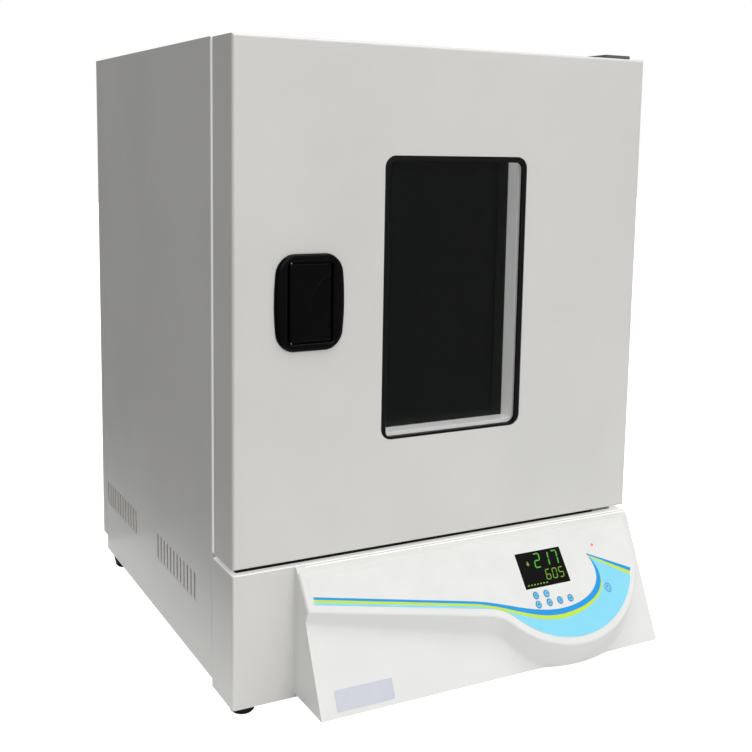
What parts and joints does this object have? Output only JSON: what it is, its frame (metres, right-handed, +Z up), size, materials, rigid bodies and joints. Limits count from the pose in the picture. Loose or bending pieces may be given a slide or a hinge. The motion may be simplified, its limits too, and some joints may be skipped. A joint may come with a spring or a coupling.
{
  "type": "laboratory incubator",
  "caption": "Bench-top forced-air laboratory incubator with a windowed hinged door, flush pull handle, insulated chamber with wire shelves and a sloping digital control panel.",
  "frame": {"origin": "on the bench, under the middle of the object's box", "axes": "X to the right seen from the front, Y from the door to the back, Z up"},
  "size_m": [0.48, 0.5889, 0.6723],
  "materials": {
    "cabinet_paint": "warm light grey powder coat with a fine texture",
    "door_paint": "warm light grey powder coat with a fine texture",
    "plinth_paint": "warm light grey powder coat with a fine texture",
    "galvanised_sheet": "dull zinc-coated sheet",
    "stainless": "brushed stainless sheet",
    "stainless_wire": "polished stainless wire",
    "insulation_wool": "mineral wool",
    "clear_glass": "tempered clear glass",
    "black_rubber": "matt black rubber",
    "silicone": "translucent grey silicone",
    "window_trim": "light grey painted frame",
    "black_handle": "gloss black moulded plastic",
    "bracket_steel": "dark coated steel",
    "bush_plastic": "white acetal",
    "screw_steel": "zinc-plated steel",
    "magnet": "dark sintered magnet",
    "white_moulding": "white moulded plastic with a soft gloss",
    "printed_overlay": "printed polyester film in white, blue, green and pale blue",
    "smoked_window": "smoked display window",
    "display_digits": "black display module with green segments",
    "red_lamp": "red diffused lamp",
    "key_film": "pale blue film key",
    "nameplate_film": "blank light blue-grey plate",
    "circuit_board": "green circuit board",
    "motor_case": "dark motor can",
    "fan_alloy": "pressed aluminium",
    "heater_tube": "heat-tinted steel tube",
    "black_plastic": "black moulded plastic"
  },
  "bodies": {
    "cabinet": {"side_panel_left": "cabinet_paint", "side_panel_right": "cabinet_paint", "top_panel": "cabinet_paint", "rear_cover": "cabinet_paint", "base_pan": "galvanised_sheet", "lower_front_panel": "plinth_paint", "front_frame": "stainless", "divider_panel": "galvanised_sheet", "rear_bulkhead": "galvanised_sheet", "chamber_liner": "stainless", "insulation_sides": "insulation_wool", "insulation_top": "insulation_wool", "insulation_bottom": "insulation_wool", "insulation_rear": "insulation_wool", "shelf_rack_left": "stainless", "shelf_rack_right": "stainless", "upper_shelf": "stainless_wire", "lower_shelf": "stainless_wire", "air_baffle": "stainless", "heater_element": "heater_tube", "fan_motor": "motor_case", "temperature_probe": "stainless_wire", "vent_tube": "stainless", "top_hinge_bracket": "bracket_steel", "bottom_hinge_bracket": "bracket_steel", "hinge_screws": "screw_steel", "strike_plate": "screw_steel", "control_housing": "white_moulding", "control_overlay": "printed_overlay", "display_window": "smoked_window", "display_module": "display_digits", "status_lamp": "red_lamp", "control_board": "circuit_board", "power_board": "circuit_board", "mains_inlet": "black_plastic", "nameplate": "nameplate_film", "rubber_feet": "black_rubber", "cover_screws": "screw_steel"},
    "door": {"door_skin": "door_paint", "door_inner_panel": "stainless", "door_insulation": "insulation_wool", "outer_glass": "clear_glass", "inner_glass": "clear_glass", "window_frame": "window_trim", "window_gasket": "black_rubber", "door_gasket": "silicone", "handle_bezel": "black_handle", "hinge_bushes": "bush_plastic", "flap_pin": "screw_steel"},
    "handle_flap": {"handle_flap": "black_handle"},
    "latch_magnet": {"latch_magnet": "magnet"},
    "fan": {"fan_wheel": "fan_alloy"},
    "vent_cap": {"vent_cap": "black_plastic"},
    "key_menu": {"key_menu": "key_film"},
    "key_timer": {"key_timer": "key_film"},
    "key_down": {"key_down": "key_film"},
    "key_up": {"key_up": "key_film"},
    "key_set": {"key_set": "key_film"},
    "key_start": {"key_start": "key_film"},
    "key_power": {"key_power": "key_film"}
  },
  "joints": [
    {"name": "door_hinge", "type": "hinge", "parent": "cabinet", "child": "door", "pos_m": [0.222, -0.1892, 0.4], "axis": [0, 0, 1], "range_deg": [0, 170]},
    {"name": "flap_hinge", "type": "hinge", "parent": "door", "child": "handle_flap", "pos_m": [-0.181, -0.2092, 0.411], "axis": [0, 0, 1], "range_deg": [-35, 0], "stiffness_Nm_per_rad": 0.08},
    {"name": "latch_slide", "type": "slide", "parent": "door", "child": "latch_magnet", "axis": [0, -1, 0], "range_m": [0, 0.006]},
    {"name": "fan_spin", "type": "hinge", "parent": "cabinet", "child": "fan", "pos_m": [0, 0.2035, 0.407], "axis": [0, 1, 0], "continuous": true},
    {"name": "vent_turn", "type": "hinge", "parent": "cabinet", "child": "vent_cap", "pos_m": [0, 0.122, 0.667], "axis": [0, 0, 1], "range_deg": [0, 90]},
    {"name": "key_menu_press", "type": "slide", "parent": "cabinet", "child": "key_menu", "axis": [0, 0.788, -0.6157], "range_m": [0, 0.0006], "stiffness_N_per_m": 600},
    {"name": "key_timer_press", "type": "slide", "parent": "cabinet", "child": "key_timer", "axis": [0, 0.788, -0.6157], "range_m": [0, 0.0006], "stiffness_N_per_m": 600},
    {"name": "key_down_press", "type": "slide", "parent": "cabinet", "child": "key_down", "axis": [0, 0.788, -0.6157], "range_m": [0, 0.0006], "stiffness_N_per_m": 600},
    {"name": "key_up_press", "type": "slide", "parent": "cabinet", "child": "key_up", "axis": [0, 0.788, -0.6157], "range_m": [0, 0.0006], "stiffness_N_per_m": 600},
    {"name": "key_set_press", "type": "slide", "parent": "cabinet", "child": "key_set", "axis": [0, 0.788, -0.6157], "range_m": [0, 0.0006], "stiffness_N_per_m": 600},
    {"name": "key_start_press", "type": "slide", "parent": "cabinet", "child": "key_start", "axis": [0, 0.788, -0.6157], "range_m": [0, 0.0006], "stiffness_N_per_m": 600},
    {"name": "key_power_press", "type": "slide", "parent": "cabinet", "child": "key_power", "axis": [0, 0.788, -0.6157], "range_m": [0, 0.0006], "stiffness_N_per_m": 600}
  ],
  "couplings": [
    {"joint": "latch_slide", "follows": "flap_hinge", "m_per_rad": -0.0098221}
  ]
}
